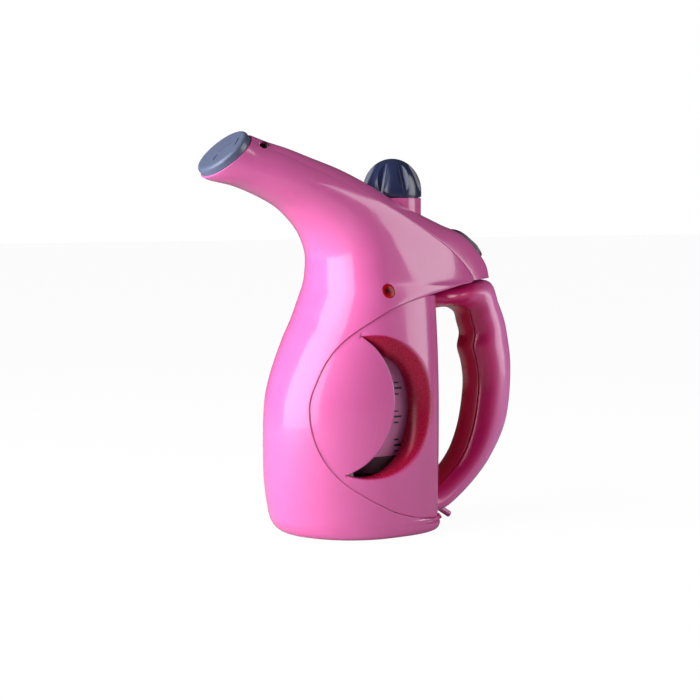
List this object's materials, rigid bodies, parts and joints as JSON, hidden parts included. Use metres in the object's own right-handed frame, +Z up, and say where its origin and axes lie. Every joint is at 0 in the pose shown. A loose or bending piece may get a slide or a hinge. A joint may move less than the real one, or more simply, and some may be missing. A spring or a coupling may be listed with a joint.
{
  "type": "garment steamer",
  "caption": "Handheld garment steamer: swept nozzle with a steam plate, screw filler cap, crescent water window, rocker switch and loop handle.",
  "frame": {"origin": "centre of the bounding box at the resting surface", "axes": "+Z up, -X the way the nozzle points, +X the handle side; XZ is the plane of symmetry"},
  "size_m": [0.19, 0.0752, 0.21],
  "materials": {
    "pink_shell": "glossy moulded, tinted pink",
    "crimson_grip": "glossy moulded, deep crimson",
    "slate_plastic": "semi-gloss slate blue",
    "switch_plastic": "semi-gloss charcoal",
    "dark_rubber": "matte",
    "silicone_seal": "matte heat-resistant silicone",
    "white_plastic": "satin",
    "silicone_tube": "milky silicone",
    "steel": "brushed",
    "clear_tank": "translucent, faintly frosted",
    "mark_ink": "printed",
    "heater_alloy": "as cast",
    "ceramic": "unglazed",
    "red_lens": "glossy, translucent red",
    "lamp_glass": "clear with an amber tint",
    "contact_brass": "satin",
    "lead_insulation": "satin silicone sleeve"
  },
  "bodies": {
    "body": {"left_front_shell": "pink_shell", "right_front_shell": "pink_shell", "left_side_panel": "pink_shell", "right_side_panel": "pink_shell", "left_window_frame": "pink_shell", "right_window_frame": "pink_shell", "top_cover": "pink_shell", "handle_grip": "crimson_grip", "handle_back_cover": "pink_shell", "nozzle_plate": "slate_plastic", "nozzle_gasket": "dark_rubber", "steam_chamber": "white_plastic", "steam_tube": "silicone_tube", "tube_clips": "steel", "water_tank": "clear_tank", "tank_lid": "clear_tank", "lid_gasket": "dark_rubber", "level_marks": "mark_ink", "heater_block": "heater_alloy", "heating_element": "steel", "heater_gasket": "silicone_seal", "heater_screws": "steel", "thermostat": "white_plastic", "thermal_fuse": "ceramic", "support_posts": "white_plastic", "bottom_cover": "pink_shell", "feet": "dark_rubber", "base_screws": "steel", "left_indicator_lens": "red_lens", "right_indicator_lens": "red_lens", "indicator_lamps": "lamp_glass", "switch_housing": "switch_plastic", "switch_terminals": "contact_brass", "cord_gland": "pink_shell", "cord_clamp": "white_plastic", "inner_leads": "lead_insulation"},
    "cap_carrier": {"cap_gasket": "dark_rubber"},
    "cap": {"filler_cap": "slate_plastic", "cap_plug": "white_plastic"},
    "rocker": {"rocker_button": "switch_plastic"},
    "contact": {"contact_bridge": "contact_brass"}
  },
  "joints": [
    {"name": "cap_rise", "type": "slide", "parent": "body", "child": "cap_carrier", "axis": [0, 0, 1], "range_m": [0, 0.008]},
    {"name": "cap_turn", "type": "hinge", "parent": "cap_carrier", "child": "cap", "pos_m": [0.018, 0, 0.177], "axis": [0, 0, 1], "range_deg": [0, 720]},
    {"name": "rocker_tilt", "type": "hinge", "parent": "body", "child": "rocker", "pos_m": [0.06308, 0, 0.15072], "axis": [0, 1, 0], "range_deg": [0, 16]},
    {"name": "contact_tilt", "type": "hinge", "parent": "body", "child": "contact", "pos_m": [0.05908, 0, 0.1456], "axis": [0, 1, 0], "range_deg": [-10, 0]}
  ],
  "couplings": [
    {"joint": "cap_rise", "follows": "cap_turn", "m_per_rad": 0.0006366},
    {"joint": "contact_tilt", "follows": "rocker_tilt", "ratio": -0.625}
  ]
}
